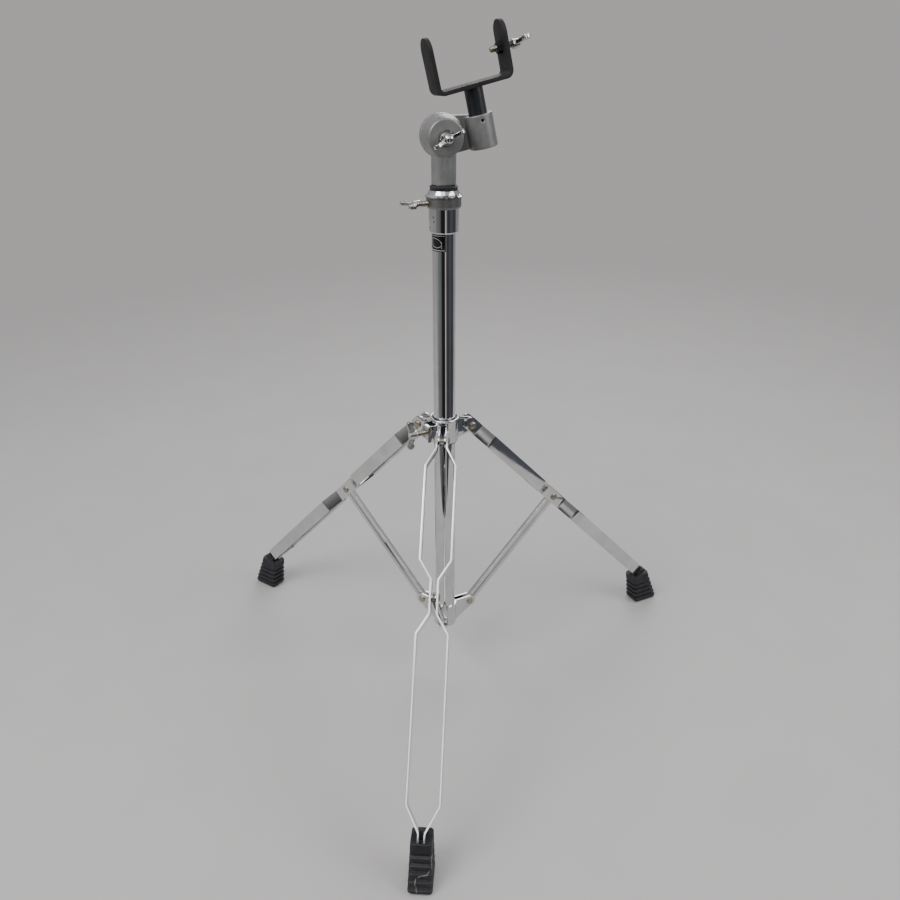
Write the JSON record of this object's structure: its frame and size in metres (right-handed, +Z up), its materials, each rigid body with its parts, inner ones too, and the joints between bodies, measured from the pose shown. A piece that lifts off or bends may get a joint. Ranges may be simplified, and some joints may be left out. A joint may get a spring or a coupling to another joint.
{
  "type": "bongo stand",
  "caption": "Folding chrome tripod stand with a sliding height tube, a ratchet tilter and a U-shaped clamp bracket for a pair of bongos.",
  "frame": {"origin": "on the floor at the middle of the footprint's box; the tube's axis stands 82.1 mm behind it, along +Y", "axes": "+Z up the tube; -Y along the front leg; +X to the right, with the other two legs at 30 degrees behind +X and -X"},
  "size_m": [0.6116, 0.5307, 0.7743],
  "materials": {
    "chrome": "polished, lightly worn",
    "rivet_steel": "dull zinc plate",
    "spring_steel": "dark oiled",
    "silver_paint": "satin metallic grey",
    "cast_zinc": "bare casting",
    "black_paint": "satin black powder coat",
    "foot_rubber": "moulded, dusty",
    "black_nylon": "moulded",
    "pad_brass": "turned",
    "label_film": "gloss film"
  },
  "bodies": {
    "base": {"base_tube": "chrome", "tube_sleeve": "chrome", "height_bush": "black_nylon", "height_clamp_ring": "chrome", "tube_label": "label_film", "tube_plug": "black_nylon", "hub_shell_1": "chrome", "hub_shell_2": "chrome", "hub_shell_3": "chrome", "hub_rivets": "rivet_steel"},
    "collar": {"leg_collar": "chrome", "collar_liner": "black_nylon", "collar_clamp_nut": "chrome", "collar_rivets": "rivet_steel"},
    "collar_pad": {"collar_pad": "black_nylon"},
    "collar_wing_bolt": {"collar_wing_bolt": "chrome"},
    "height_pad": {"height_pad": "pad_brass"},
    "height_wing_screw": {"height_wing_screw": "chrome"},
    "mast_guide": {"height_tube_guide": "black_nylon"},
    "mast": {"height_tube": "chrome", "tilter_base": "silver_paint", "ratchet_ring_front": "cast_zinc", "tilt_bolt": "chrome", "tilt_spring_washer": "spring_steel"},
    "tilt_washer": {"tilt_washer": "chrome"},
    "tilt_wing_nut": {"tilt_wing_nut": "chrome"},
    "tilter_head": {"tilter_head": "silver_paint", "ratchet_ring_rear": "cast_zinc", "socket_grub_screw": "spring_steel"},
    "bracket": {"bracket_post": "black_paint", "u_bracket": "black_paint", "bracket_weld_nut": "black_paint"},
    "bracket_wing_bolt": {"bracket_wing_bolt": "chrome"},
    "brace_front": {"brace_front": "chrome"},
    "leg_front": {"leg_front_strip_left": "chrome", "leg_front_strip_right": "chrome", "leg_front_rivet": "rivet_steel", "leg_front_foot_spacer": "spring_steel", "foot_front": "foot_rubber"},
    "brace_right": {"brace_right": "chrome"},
    "leg_right": {"leg_right_strip_left": "chrome", "leg_right_strip_right": "chrome", "leg_right_rivet": "rivet_steel", "leg_right_foot_spacer": "spring_steel", "foot_right": "foot_rubber"},
    "brace_left": {"brace_left": "chrome"},
    "leg_left": {"leg_left_strip_left": "chrome", "leg_left_strip_right": "chrome", "leg_left_rivet": "rivet_steel", "leg_left_foot_spacer": "spring_steel", "foot_left": "foot_rubber"}
  },
  "joints": [
    {"name": "fold", "type": "hinge", "parent": "base", "child": "brace_front", "pos_m": [0, 0.04807, 0.09], "axis": [-1, 0, 0], "range_deg": [-4, 40]},
    {"name": "leg_front_pivot", "type": "hinge", "parent": "brace_front", "child": "leg_front", "pos_m": [0, -0.07444, 0.21802], "axis": [-1, 0, 0], "range_deg": [-80, 8]},
    {"name": "brace_right_pivot", "type": "hinge", "parent": "base", "child": "brace_right", "pos_m": [0.02944, 0.09907, 0.09], "axis": [0.5, -0.866, 0], "range_deg": [-4, 40]},
    {"name": "leg_right_pivot", "type": "hinge", "parent": "brace_right", "child": "leg_right", "pos_m": [0.13554, 0.16033, 0.21802], "axis": [0.5, -0.866, 0], "range_deg": [-80, 8]},
    {"name": "brace_left_pivot", "type": "hinge", "parent": "base", "child": "brace_left", "pos_m": [-0.02944, 0.09907, 0.09], "axis": [0.5, 0.866, 0], "range_deg": [-4, 40]},
    {"name": "leg_left_pivot", "type": "hinge", "parent": "brace_left", "child": "leg_left", "pos_m": [-0.13554, 0.16033, 0.21802], "axis": [0.5, 0.866, 0], "range_deg": [-80, 8]},
    {"name": "collar_pivot", "type": "hinge", "parent": "leg_front", "child": "collar", "pos_m": [0, 0.04807, 0.34605], "axis": [-1, 0, 0], "range_deg": [-4, 40]},
    {"name": "collar_pad_slide", "type": "slide", "parent": "collar", "child": "collar_pad", "axis": [-0.866, -0.5, 0], "range_m": [0, 0.0015]},
    {"name": "collar_wing_bolt_spin", "type": "hinge", "parent": "collar_pad", "child": "collar_wing_bolt", "pos_m": [-0.03464, 0.06207, 0.34605], "axis": [-0.866, -0.5, 0], "range_deg": [0, 541]},
    {"name": "height_pad_slide", "type": "slide", "parent": "base", "child": "height_pad", "axis": [-0.891, -0.454, 0], "range_m": [0, 0.0015]},
    {"name": "height_wing_screw_spin", "type": "hinge", "parent": "height_pad", "child": "height_wing_screw", "pos_m": [-0.02673, 0.06845, 0.604], "axis": [-0.891, -0.454, 0], "range_deg": [0, 541]},
    {"name": "height_slide", "type": "slide", "parent": "base", "child": "mast_guide", "axis": [0, 0, 1], "range_m": [0, 0.35]},
    {"name": "mast_swivel", "type": "hinge", "parent": "mast_guide", "child": "mast", "pos_m": [0, 0.08207, 0.5], "axis": [0, 0, 1], "continuous": true},
    {"name": "tilt_washer_slide", "type": "slide", "parent": "mast", "child": "tilt_washer", "axis": [0.2924, -0.9563, 0], "range_m": [0, 0.00187]},
    {"name": "tilt_wing_nut_spin", "type": "hinge", "parent": "tilt_washer", "child": "tilt_wing_nut", "pos_m": [0.00585, 0.06295, 0.668], "axis": [0.2924, -0.9563, 0], "range_deg": [0, 541]},
    {"name": "tilt", "type": "hinge", "parent": "mast", "child": "tilter_head", "pos_m": [-0.00292, 0.09163, 0.668], "axis": [0.2924, -0.9563, 0], "range_deg": [-32, 75]},
    {"name": "bracket_swivel", "type": "hinge", "parent": "tilter_head", "child": "bracket", "pos_m": [0.03576, 0.10346, 0.67727], "axis": [-0.2135, -0.0653, 0.9748], "continuous": true},
    {"name": "bracket_wing_bolt_spin", "type": "hinge", "parent": "bracket", "child": "bracket_wing_bolt", "pos_m": [0.06641, 0.1192, 0.75151], "axis": [0.8896, 0.3994, 0.2216], "range_deg": [0, 540]}
  ],
  "couplings": [
    {"joint": "leg_front_pivot", "follows": "fold", "ratio": -2},
    {"joint": "brace_right_pivot", "follows": "fold", "ratio": 1},
    {"joint": "leg_right_pivot", "follows": "fold", "ratio": -2},
    {"joint": "brace_left_pivot", "follows": "fold", "ratio": 1},
    {"joint": "leg_left_pivot", "follows": "fold", "ratio": -2},
    {"joint": "collar_pivot", "follows": "fold", "ratio": 1},
    {"joint": "collar_wing_bolt_spin", "follows": "collar_pad_slide", "rad_per_m": 6283.2},
    {"joint": "height_wing_screw_spin", "follows": "height_pad_slide", "rad_per_m": 6283.2},
    {"joint": "tilt_wing_nut_spin", "follows": "tilt_washer_slide", "rad_per_m": 5026.5}
  ]
}
